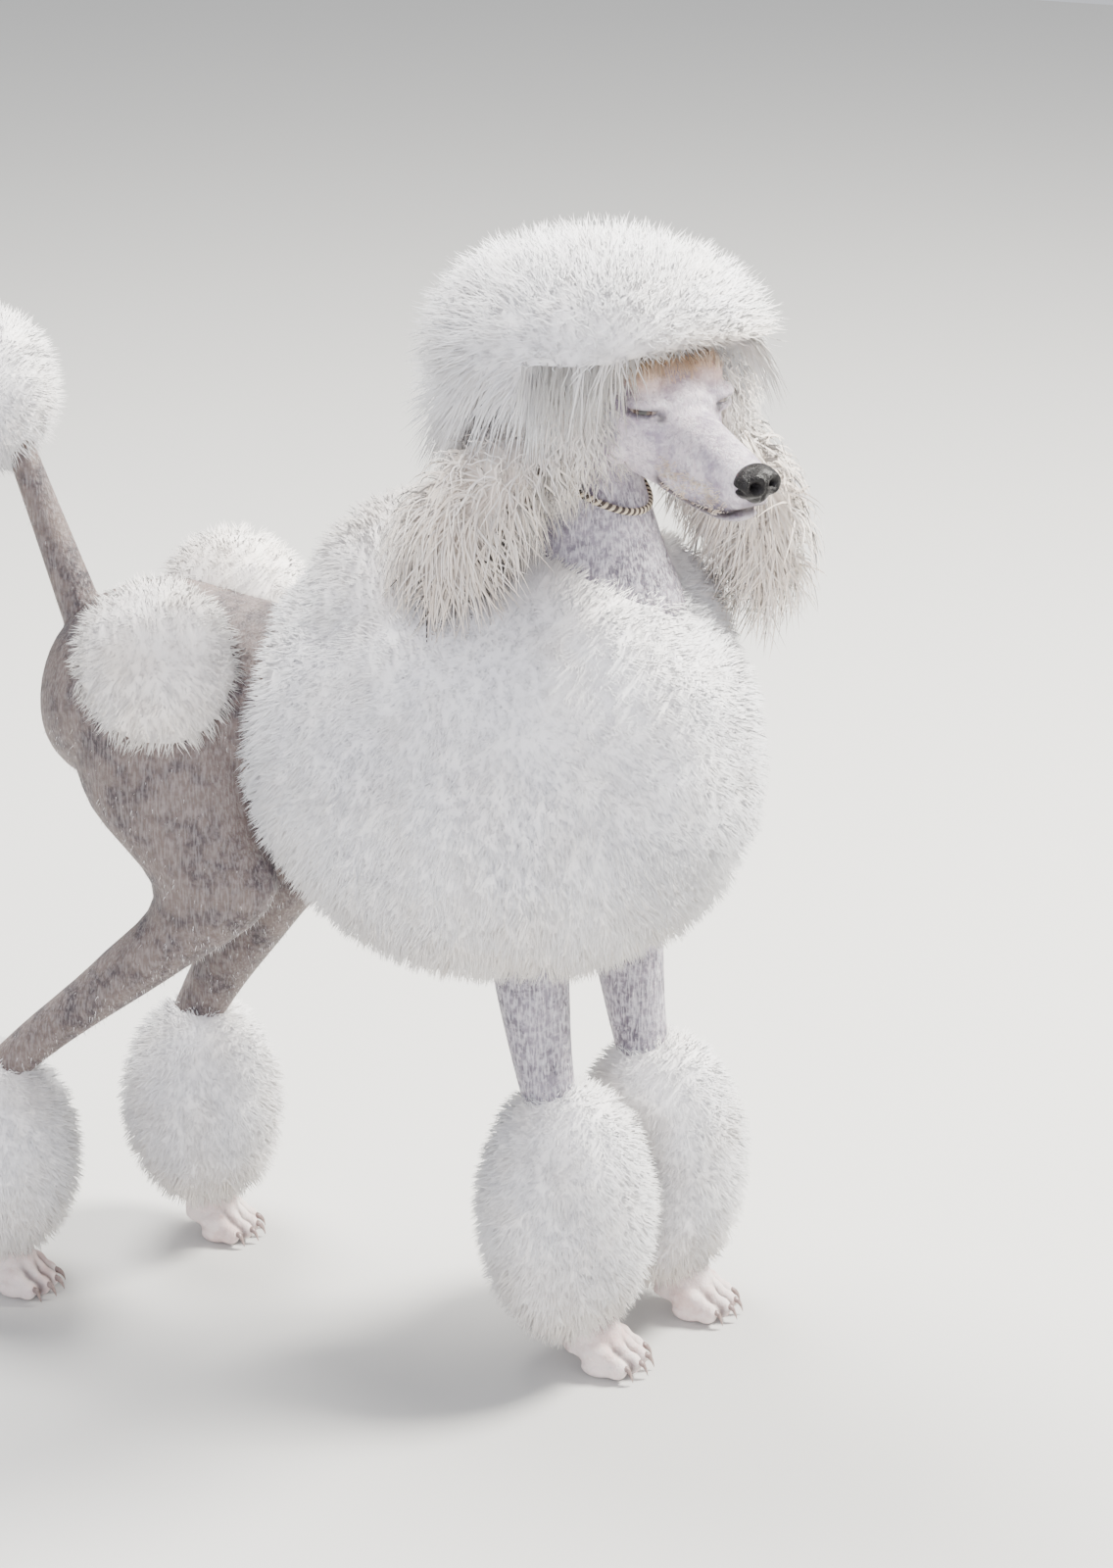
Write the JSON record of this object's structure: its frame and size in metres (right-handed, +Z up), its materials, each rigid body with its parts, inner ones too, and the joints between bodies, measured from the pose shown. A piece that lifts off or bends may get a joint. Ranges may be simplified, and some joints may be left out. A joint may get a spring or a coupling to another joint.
{
  "type": "standard poodle",
  "caption": "Standing white standard poodle in continental show clip: topknot, long ears, rounded mane, hip rosettes, leg bracelets, tail pompom and a fine show collar.",
  "frame": {"origin": "on the floor under the middle of the whole dog's bounding box", "axes": "+Z up, the dog faces -Y, its left side is at +X"},
  "size_m": [0.332, 0.6892, 0.8876],
  "materials": {
    "coat": "soft curled hair, white with cream near the skin",
    "ear_hair": "long crimped cream hair",
    "body_skin": "closely clipped, grey skin under short white hair",
    "face_skin": "shaved, lilac grey with short white hair",
    "foot_skin": "shaved, pinkish white",
    "nose_leather": "black, moist, pebbled",
    "eye": "wet dark brown",
    "collar_chain": "fine dark and light twisted metal"
  },
  "bodies": {
    "root": {"head": "face_skin", "nose": "nose_leather", "neck": "body_skin", "collar": "collar_chain", "mane": "coat", "topknot": "coat", "torso": "body_skin", "tail": "body_skin", "tail_pompom": "coat", "eye_left": "eye", "ear_left": "ear_hair", "foreleg_left": "body_skin", "bracelet_front_left": "coat", "paw_front_left": "foot_skin", "hindleg_left": "body_skin", "bracelet_rear_left": "coat", "paw_rear_left": "foot_skin", "rosette_left": "coat", "eye_right": "eye", "ear_right": "ear_hair", "foreleg_right": "body_skin", "bracelet_front_right": "coat", "paw_front_right": "foot_skin", "hindleg_right": "body_skin", "bracelet_rear_right": "coat", "paw_rear_right": "foot_skin", "rosette_right": "coat"}
  },
  "joints": []
}
